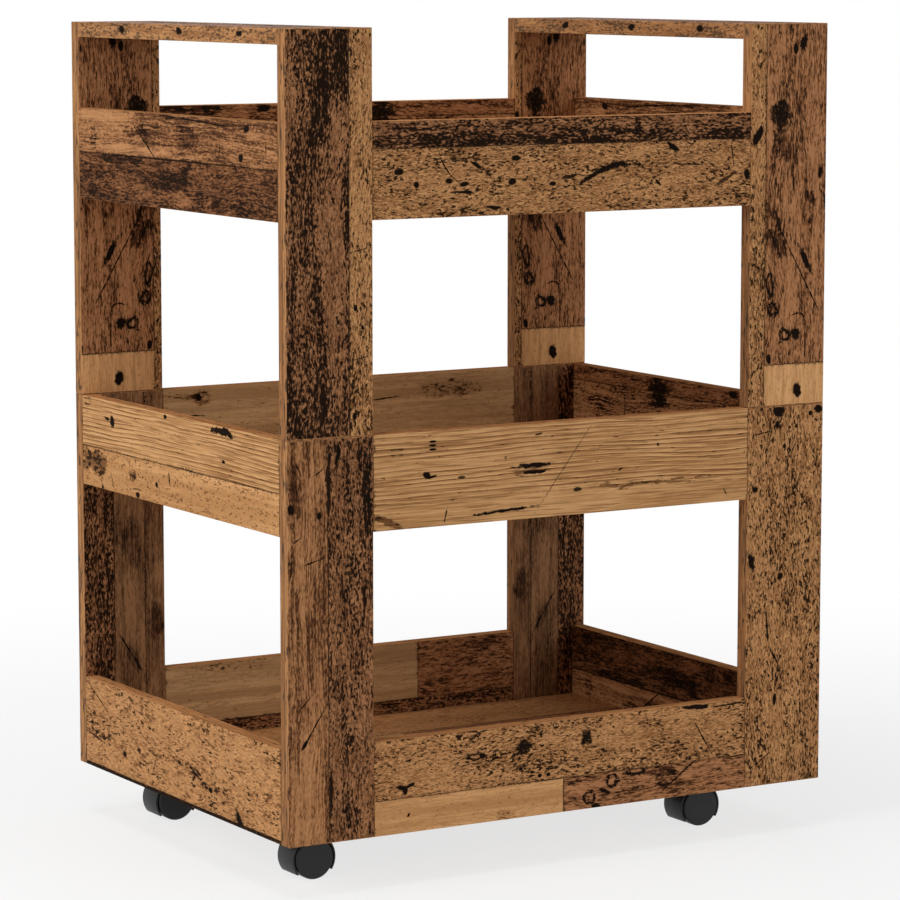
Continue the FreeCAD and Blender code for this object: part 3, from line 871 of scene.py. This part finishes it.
# Axes and print of each board, whether the print is turned end for end or side for side, and its shift
BOARDS = {
    "front_left_upper_post": (POST_AXES, "charred_with_tan"),
    "front_left_lower_post": (POST_AXES, "streaky_with_smoked"),
    "front_right_upper_post": (POST_AXES, "red_with_patch"),
    "front_right_lower_post": (POST_AXES, "worm_eaten"),
    "back_left_upper_post": (POST_AXES, "red_with_patch", False, True, 9.5),
    "back_left_lower_post": (POST_AXES, "smooth_with_smoked", False, True),
    "back_right_upper_post": (POST_AXES, "red_with_patch", False, False, 9.5),
    "back_right_lower_post": (POST_AXES, "smooth_with_smoked"),
    "top_front_rail": (LONG_RAIL_AXES, "charred_over_tan"),
    "middle_front_rail": (LONG_RAIL_AXES, "combed"),
    "bottom_front_rail": (LONG_RAIL_AXES, "tan_over_patch"),
    "top_back_rail": (LONG_RAIL_AXES, "red_over_streaky"),
    "middle_back_rail": (LONG_RAIL_AXES, "weathered"),
    "bottom_back_rail": (LONG_RAIL_AXES, "pale_over_smoked"),
    "top_left_rail": (SHORT_RAIL_AXES, "streaky_over_sooty"),
    "middle_left_rail": (SHORT_RAIL_AXES, "pine_over_pale"),
    "bottom_left_rail": (SHORT_RAIL_AXES, "worm_eaten_rail"),
    # The right rails are seen only by their inner faces, which stand in shade; their dark prints are
    # partly painted shade
    "top_right_rail": (SHORT_RAIL_AXES, "streaky_over_sooty", True),
    "middle_right_rail": (SHORT_RAIL_AXES, "red_over_streaky"),
    "bottom_right_rail": (SHORT_RAIL_AXES, "streaky_over_sooty", False, True),
    "left_handle_bar": (HANDLE_AXES, "handle"),
    "right_handle_bar": (HANDLE_AXES, "handle", False, True),
    "top_floor": (TRAY_AXES, "tray_planks"),
    "middle_floor": (TRAY_AXES, "tray_planks", True),
    "bottom_floor": (TRAY_AXES, "tray_planks", False, True),
}


def make_board_materials():
    """One material per finish and print, each with the marks of its own planks."""
    materials = {
        "edge_band": board_material("edge_band", edge_band),
        "rail_band": board_material("rail_band", rail_band, gloss=RAIL_GLOSS),
        "handle_band": board_material("handle_band", handle_band, HANDLE_SPOTS),
    }
    stretch = 0
    for print_name, planks in PRINTS.items():
        for piece in planks:
            stretch += 1
            piece["start"] = PLANK_STRETCH * stretch
            piece["material"] = piece["finish"].__name__ + "_of_" + print_name
        for name in sorted({piece["material"] for piece in planks}):
            pieces = [piece for piece in planks if piece["material"] == name]
            marks = [
                dict(spot, along=spot["along"] + piece["start"])
                for piece in pieces for spot in piece["marks"]
            ]
            materials[name] = board_material(name, pieces[0]["finish"], marks)
    return materials


def board_material(name, pattern, marks=(), gloss=BOARD_GLOSS):
    finish = BoardFinish(name, marks, gloss)
    return finish.close(*pattern(finish))


def add_object(name, data):
    item = bpy.data.objects.new(name, data)
    bpy.context.scene.collection.objects.link(item)
    return item


def mesh_object(name, mesh, materials):
    """Makes an object of a finished mesh and its materials."""
    data = bpy.data.meshes.new(name)
    mesh.to_mesh(data)
    mesh.free()
    for material in materials:
        data.materials.append(material)
    return add_object(name, data)


def bevel(mesh, edges, size, segments):
    """Rounds edges by a size in millimetres."""
    bmesh.ops.bevel(
        mesh, geom=edges, offset=size * MM, offset_type="OFFSET", affect="EDGES",
        segments=segments, profile=0.5, material=-1, clamp_overlap=True,
    )


def slab(low, high):
    """A bevelled box between two corners."""
    mesh = bmesh.new()
    bmesh.ops.create_cube(mesh, size=1.0)
    bmesh.ops.scale(mesh, vec=high - low, verts=mesh.verts)
    bmesh.ops.translate(mesh, vec=(low + high) / 2, verts=mesh.verts)
    bevel(mesh, list(mesh.edges), BOARD_BEVEL, BOARD_BEVEL_SEGMENTS)
    return mesh


class Print:
    """Where the planks of a print lie on one board."""

    def __init__(self, low, high, axes, name, end_for_end=False, side_for_side=False, shift=0.0):
        self.low = low
        self.size = high - low
        self.along, self.across, self.through = axes
        self.length = self.size[self.along] / MM
        self.width = self.size[self.across] / MM
        self.planks = PRINTS[name]
        self.end_for_end = end_for_end
        self.side_for_side = side_for_side
        self.shift = shift
        self.butted = axes in (LONG_RAIL_AXES, SHORT_RAIL_AXES)
        self.band = "rail_band" if self.butted else "edge_band"
        if axes == HANDLE_AXES:
            self.band = "handle_band"

    def measure(self, point):
        """Millimetres along and across the print."""
        along = (point[self.along] - self.low[self.along]) / MM
        across = (point[self.across] - self.low[self.across]) / MM
        if self.end_for_end:
            along = self.length - along
        if self.side_for_side:
            across = self.width - across
        return along, across + self.shift

    def limits(self, piece):
        """Limits of a plank: low and high along, then low and high across."""
        start, end = piece["along"] or (0, None)
        if end is None:
            end = self.length
        return (start, end) + piece["across"]

    def cut_at(self, mesh, axis, place):
        """Cuts the mesh across an axis, at a distance from the board's low corner."""
        point = Vector(self.low)
        point[axis] += place
        normal = Vector([float(i == axis) for i in range(3)])
        geom = list(mesh.verts) + list(mesh.edges) + list(mesh.faces)
        bmesh.ops.bisect_plane(mesh, geom=geom, dist=CUT_DISTANCE, plane_co=point, plane_no=normal)

    def cut_planks(self, mesh):
        """Lines at the borders of the planks and at half their length."""
        for piece in self.planks:
            start, end, low, high = self.limits(piece)
            for axis, values, turned in (
                (self.along, (start, (start + end) / 2, end), self.end_for_end),
                (self.across, (low - self.shift, high - self.shift), self.side_for_side),
            ):
                for value in values:
                    place = self.size[axis] - value * MM if turned else value * MM
                    if LEAST_STRIP * MM < place < self.size[axis] - LEAST_STRIP * MM:
                        self.cut_at(mesh, axis, place)

    def cut_bands(self, mesh):
        """Lines a band's thickness from both ends of the board."""
        self.cut_at(mesh, self.along, BAND_THICKNESS * MM)
        self.cut_at(mesh, self.along, self.size[self.along] - BAND_THICKNESS * MM)

    def plank_at(self, along, across):
        for piece in self.planks:
            start, end, low, high = self.limits(piece)
            if start <= along <= end and low <= across <= high:
                return piece
        return self.planks[0]

    def seam(self, piece, along, across):
        """Distances to the plank's low, high and end borders, far away where the board ends."""
        start, end, low, high = self.limits(piece)
        low_gap = (across - low) * MM if low > LEAST_STRIP else NO_SEAM
        high_gap = (high - across) * MM if high < self.width - LEAST_STRIP else NO_SEAM
        start_gap = (along - start) * MM if start > LEAST_STRIP or self.butted else NO_SEAM
        end_gap = (end - along) * MM if end < self.length - LEAST_STRIP or self.butted else NO_SEAM
        return Vector((low_gap, high_gap, min(start_gap, end_gap)))

    def on_plank(self, point, piece):
        """Place of a point in a plank's own stretch of noise, and its distances from the seams."""
        along, across = self.measure(point)
        place = Vector(((along + piece["start"]) * MM, across * MM, 0))
        return place, self.seam(piece, along, across)

    def on_band(self, point, facing):
        """Place of a point in the noise of the edge bands, with no seam near it."""
        along, across = self.measure(point)
        depth = point[self.through] - self.low[self.through]
        run = across if facing == self.along else along
        start = self.low[self.across] * BAND_STRETCH + facing
        place = Vector((run * MM + start, depth + across * MM, 0))
        return place, Vector((NO_SEAM, NO_SEAM, NO_SEAM))


def paint_board(mesh, layout, banded, finishes):
    """Gives each face its finish and its place in that finish's print."""
    place_layer = mesh.loops.layers.float_vector.new("print_place")
    seam_layer = mesh.loops.layers.float_vector.new("plank_seam")
    mesh.normal_update()
    for face in mesh.faces:
        facing = max(range(3), key=lambda axis: abs(face.normal[axis]))
        along, across = layout.measure(face.calc_center_median())
        in_band = banded and not BAND_THICKNESS < along < layout.length - BAND_THICKNESS
        printed = facing == layout.through and not in_band
        piece = layout.plank_at(along, across) if printed else None
        face.material_index = finishes.index(piece["material"] if printed else layout.band)
        for loop in face.loops:
            point = loop.vert.co
            place, seam = layout.on_plank(point, piece) if printed else layout.on_band(point, facing)
            loop[place_layer] = place
            loop[seam_layer] = seam


def finish_piece(mesh, name, materials, body, slot, *nodes):
    """Makes the piece's object, which stands for its CAD nodes and moves with a body."""
    piece = mesh_object(name, mesh, materials)
    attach(piece, body)
    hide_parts(*nodes)
    return piece


def make_board(node, materials):
    """Makes a board: a bevelled slab, cut along the borders of its planks and painted."""
    axes = BOARDS[node][0]
    low, high = (Vector(corner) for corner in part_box(node))
    if axes == TRAY_AXES:
        inset = Vector((TONGUE_DEPTH * MM, TONGUE_DEPTH * MM, 0))
        low, high = low + inset, high - inset
    layout = Print(low, high, *BOARDS[node])
    mesh = slab(low, high)
    layout.cut_planks(mesh)
    banded = axes == POST_AXES
    if banded:
        layout.cut_bands(mesh)
    finishes = sorted({piece["material"] for piece in layout.planks} | {layout.band})
    paint_board(mesh, layout, banded, finishes)
    looks = [materials[name] for name in finishes]
    finish_piece(mesh, node + "_board", looks, "frame", "decor_board", node)


def smooth_piece(piece):
    """Smooth shading, with sharper edges kept crisp."""
    data = piece.data
    data.polygons.foreach_set("use_smooth", [True] * len(data.polygons))
    data.set_sharp_from_angle(angle=math.radians(SMOOTH_ANGLE))


def lathe(mesh, profile, centre, axis, out):
    """Turns a closed profile of (radius, height) pairs about an axis through centre."""
    points = []
    for radius, height in profile:
        points.append(mesh.verts.new(centre + out * radius * MM + axis * height * MM))
    edges = [mesh.edges.new((points[i - 1], points[i])) for i in range(len(points))]
    bmesh.ops.spin(
        mesh, geom=points + edges, cent=centre, axis=axis, angle=math.tau, steps=LATHE_STEPS,
        use_merge=True,
    )
    bmesh.ops.remove_doubles(mesh, verts=mesh.verts, dist=MERGE_DISTANCE)
    bmesh.ops.recalc_face_normals(mesh, faces=mesh.faces)


def round_edges(mesh, angle, size):
    """Rounds the edges that are sharper than an angle."""
    limit = math.radians(angle)
    edges = [edge for edge in mesh.edges if edge.is_manifold and edge.calc_face_angle() > limit]
    bevel(mesh, edges, size, ROUNDING_SEGMENTS)


def wheel_mesh(axle, side):
    """Solid moulded wheel: domed outer disc, rounded tread and a recessed inner face."""
    recess = WHEEL_INNER_FACE + WHEEL_RECESS_DEPTH
    profile = [
        (WHEEL_BORE, WHEEL_INNER_FACE), (WHEEL_HUB_RADIUS, WHEEL_INNER_FACE),
        (WHEEL_RECESS_RADII[0], recess), (WHEEL_RECESS_RADII[1], recess),
        (WHEEL_RIM_RADIUS, WHEEL_INNER_FACE), (WHEEL_RADIUS, WHEEL_INNER_FACE),
        (WHEEL_RADIUS, WHEEL_TREAD_END), WHEEL_SHOULDER, WHEEL_DOME, (0.0, WHEEL_OUTER_FACE),
        (0.0, WHEEL_BORE_END), (WHEEL_BORE, WHEEL_BORE_END),
    ]
    mesh = bmesh.new()
    lathe(mesh, profile, axle, Y_AXIS * side, X_AXIS)
    round_edges(mesh, WHEEL_EDGE_ANGLE, WHEEL_ROUNDING)
    return mesh


def fender(mesh, axle):
    """Curved cover over both wheels, swept round the axle."""
    start = math.radians(HOOD_START_ANGLE)
    out = Vector((math.cos(start), 0, math.sin(start)))
    corners = [
        (HOOD_INNER_RADIUS, -HOOD_HALF_WIDTH), (HOOD_OUTER_RADIUS, -HOOD_HALF_WIDTH),
        (HOOD_OUTER_RADIUS, HOOD_HALF_WIDTH), (HOOD_INNER_RADIUS, HOOD_HALF_WIDTH),
    ]
    verts = [mesh.verts.new(axle + out * radius * MM + Y_AXIS * y * MM) for radius, y in corners]
    face = mesh.faces.new(verts)
    sweep = math.radians(HOOD_START_ANGLE - HOOD_END_ANGLE)
    bmesh.ops.spin(
        mesh, geom=verts + list(face.edges) + [face], cent=axle, axis=Y_AXIS, angle=sweep,
        steps=HOOD_STEPS,
    )
    bmesh.ops.recalc_face_normals(mesh, faces=mesh.faces)
    round_edges(mesh, HOOD_EDGE_ANGLE, HOOD_ROUNDING)


def web(mesh, axle):
    """Flat plate between the wheels, cut level below the axle."""
    turn = Matrix.Translation(axle) @ Matrix.Rotation(math.pi / 2, 4, "X")
    made = bmesh.ops.create_cone(
        mesh, cap_ends=True, segments=WEB_SEGMENTS, radius1=WEB_RADIUS * MM, radius2=WEB_RADIUS * MM,
        depth=2 * WEB_HALF_THICKNESS * MM, matrix=turn,
    )
    verts = made["verts"]
    faces = list({face for vert in verts for face in vert.link_faces})
    edges = list({edge for vert in verts for edge in vert.link_edges})
    level = axle - Z_AXIS * WEB_DROP * MM
    sliced = bmesh.ops.bisect_plane(
        mesh, geom=verts + edges + faces, dist=CUT_DISTANCE, plane_co=level, plane_no=-Z_AXIS,
        clear_outer=True,
    )
    rim = [item for item in sliced["geom_cut"] if isinstance(item, bmesh.types.BMEdge)]
    bmesh.ops.contextual_create(mesh, geom=rim)


def boss(mesh, axle):
    """Upright barrel that turns on the kingpin."""
    pin = axle + X_AXIS * CASTER_TRAIL * MM
    profile = [
        (PIN_BORE, BOSS_TOP), (BOSS_RADIUS - BOSS_TOP_CHAMFER, BOSS_TOP),
        (BOSS_RADIUS, BOSS_TOP - BOSS_TOP_CHAMFER), (BOSS_RADIUS, BOSS_SHOULDER + BOSS_SHOULDER_CHAMFER),
        (BOSS_FOOT_RADIUS, BOSS_SHOULDER), (BOSS_FOOT_RADIUS, BOSS_FOOT_CHAMFER),
        (BOSS_FOOT_RADIUS - BOSS_FOOT_CHAMFER, 0.0), (0.0, 0.0),
        (0.0, PIN_BORE_END), (PIN_BORE, PIN_BORE_END),
    ]
    lathe(mesh, profile, pin, Z_AXIS, X_AXIS)


def joined(builders, axle):
    """One mesh of several closed shells, each made on its own."""
    whole = bmesh.new()
    for builder in builders:
        shell = bmesh.new()
        builder(shell, axle)
        bmesh.ops.recalc_face_normals(shell, faces=shell.faces)
        data = bpy.data.meshes.new("shell")
        shell.to_mesh(data)
        shell.free()
        whole.from_mesh(data)
        bpy.data.meshes.remove(data)
    return whole


def make_caster(corner, hood_material, wheel_material):
    """Makes a caster's hood and its two wheels, around the middle of its axle."""
    caster = corner + "_caster"
    low, high = (Vector(point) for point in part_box(caster + "_axle"))
    axle = (low + high) / 2
    hood = finish_piece(
        joined((fender, web, boss), axle), caster + "_hood_shell", [hood_material],
        caster, "hood_plastic", caster + "_hood",
    )
    smooth_piece(hood)
    for side_name, side in (("front", -1), ("back", 1)):
        node = caster + "_" + side_name + "_wheel"
        wheel = finish_piece(
            wheel_mesh(axle, side), node + "_disc", [wheel_material], node, "wheel_plastic", node,
        )
        smooth_piece(wheel)


def moulded_plastic(name, colour, worn, roughness):
    """Satin black moulded plastic with a fine grain and faint scuffs."""
    finish = Finish(name, {"IOR": 1.5, "Specular IOR Level": 0.3})
    place = finish.node("TexCoord", {}, {}, "Object")
    grain = finish.noise(place, (0.5, 0.5, 0.5), 2, 0.5, 0.3)
    scuffs = finish.noise(place, (14, 6, 3), 5, 0.68, 4.3)
    haze = finish.noise(place, (30, 30, 30), 3, 0.6, 8.3)
    share = finish.step(scuffs, 0.55, 0.78) * 0.55 + finish.step(haze, 0.4, 0.7) * 0.25
    colour = finish.mix(share, colour, worn)
    rough = roughness + haze * 0.12 + scuffs * 0.10
    return finish.shade(colour, rough, grain + scuffs * 0.5, 0.03)


def zinc_steel():
    """Bright zinc plate: soft spangle, fine scratches and dull patches."""
    finish = Finish("zinc_steel", {"Metallic": 1.0})
    place = finish.node("TexCoord", {}, {}, "Object")
    spangle = finish.noise(place, (5, 5, 5), 4, 0.6, 0.3)
    scratches = finish.noise(place, (20, 0.5, 0.5), 3, 0.6, 3.3)
    colour = finish.tint(ZINC_DULL, ZINC_BRIGHT, spangle, 0.35, 0.7)
    rough = 0.28 + spangle * 0.16 + finish.step(scratches, 0.55, 0.75) * 0.12
    return finish.shade(colour, rough, scratches, 0.01)


def bare_beech():
    """Turned beech dowel with short flecks along its grain."""
    finish = Finish("bare_beech", {"IOR": 1.46})
    place = finish.node("TexCoord", {}, {}, "Object")
    tone = finish.noise(place, (24, 24, 24), 3, 0.6, 0.3)
    flecks = finish.noise(place, (3, 0.6, 0.6), 2, 0.5, 3.3)
    colour = finish.tint(BEECH_DEEP, BEECH_LIGHT, tone, 0.3, 0.7)
    colour = finish.tint(colour, BEECH_FLECK, flecks, 0.62, 0.72, 0.5)
    return finish.shade(colour, 0.6 + flecks * 0.1, flecks, 0.05)


def dress_nodes(names, material):
    """Gives CAD nodes that keep their shape a procedural material."""
    for name in names:
        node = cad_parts[name]
        node.data.materials.clear()
        node.data.materials.append(material)


def make_world():
    """White to the camera, and a dim even light for everything else."""
    world = bpy.data.worlds.new("studio")
    bpy.context.scene.world = world
    world.use_nodes = True
    nodes = Nodes(world.node_tree)
    ambient = nodes.tree.nodes["Background"]
    nodes.plug(ambient.inputs["Color"], WHITE)
    nodes.plug(ambient.inputs["Strength"], AMBIENT_LEVEL)
    white = nodes.node("Background", {}, {"Color": WHITE, "Strength": 1.0})
    light = Socket(nodes, ambient.outputs[0])
    blend = nodes.node("MixShader", {}, {0: nodes.seen_white(), 1: light, 2: white})
    nodes.plug(nodes.tree.nodes["World Output"].inputs["Surface"], blend)


def make_floor():
    """Pale matt floor that keeps the cart's soft shadow and fades to white away from it."""
    finish = Finish("pale_floor", {"Roughness": 0.9, "Specular IOR Level": 0.1})
    finish.plug(finish.shader.inputs["Base Color"], FLOOR_PALE)
    place = finish.node("TexCoord", {}, {}, "Object")
    away = finish.node("VectorMath", {"operation": "LENGTH"}, {0: place}, 1)
    glow_share = FLOOR_GLOW + finish.step(away, SHADOW_REACH, WHITE_REACH) * (1 - FLOOR_GLOW)
    share = finish.seen_white() * glow_share
    glow = finish.node("Emission", {}, {"Color": WHITE, "Strength": 1.0})
    matt = Socket(finish, finish.shader.outputs[0])
    blend = finish.node("MixShader", {}, {0: share, 1: matt, 2: glow})
    finish.plug(finish.tree.nodes["Material Output"].inputs["Surface"], blend)
    mesh = bmesh.new()
    bmesh.ops.create_grid(mesh, x_segments=FLOOR_CELLS, y_segments=FLOOR_CELLS, size=FLOOR_SIZE / 2)
    mesh_object("studio_floor", mesh, [finish.material])


def make_lamps():
    for name, (place, target, width, power) in LAMPS.items():
        data = bpy.data.lights.new(name, "AREA")
        data.shape = "SQUARE"
        data.size = width
        data.energy = power
        lamp = add_object(name, data)
        lamp.location = place
        aim = Vector(target) - Vector(place)
        lamp.rotation_euler = aim.to_track_quat("-Z", "Y").to_euler()


def make_camera():
    data = bpy.data.cameras.new("camera")
    data.sensor_width = CAMERA_SENSOR
    data.lens = CAMERA_LENS
    camera = add_object("camera", data)
    camera.location = CAMERA_PLACE
    camera.rotation_euler = [math.radians(angle) for angle in CAMERA_TURN]
    bpy.context.scene.camera = camera


board_materials = make_board_materials()
for board_name in BOARDS:
    make_board(board_name, board_materials)

hood_plastic = moulded_plastic("hood_black", HOOD_BLACK, HOOD_WORN, HOOD_ROUGHNESS)
wheel_plastic = moulded_plastic("wheel_black", WHEEL_BLACK, WHEEL_WORN, WHEEL_ROUGHNESS)
for caster_corner in CORNERS:
    make_caster(caster_corner, hood_plastic, wheel_plastic)

steel = zinc_steel()
dress_nodes(["caster_plates", "caster_kingpins", "caster_screws"], steel)
dress_nodes([caster_corner + "_caster_axle" for caster_corner in CORNERS], steel)
dress_nodes(["wooden_dowels"], bare_beech())

make_world()
make_floor()
make_lamps()
make_camera()
bpy.context.scene.view_settings.view_transform = "Standard"
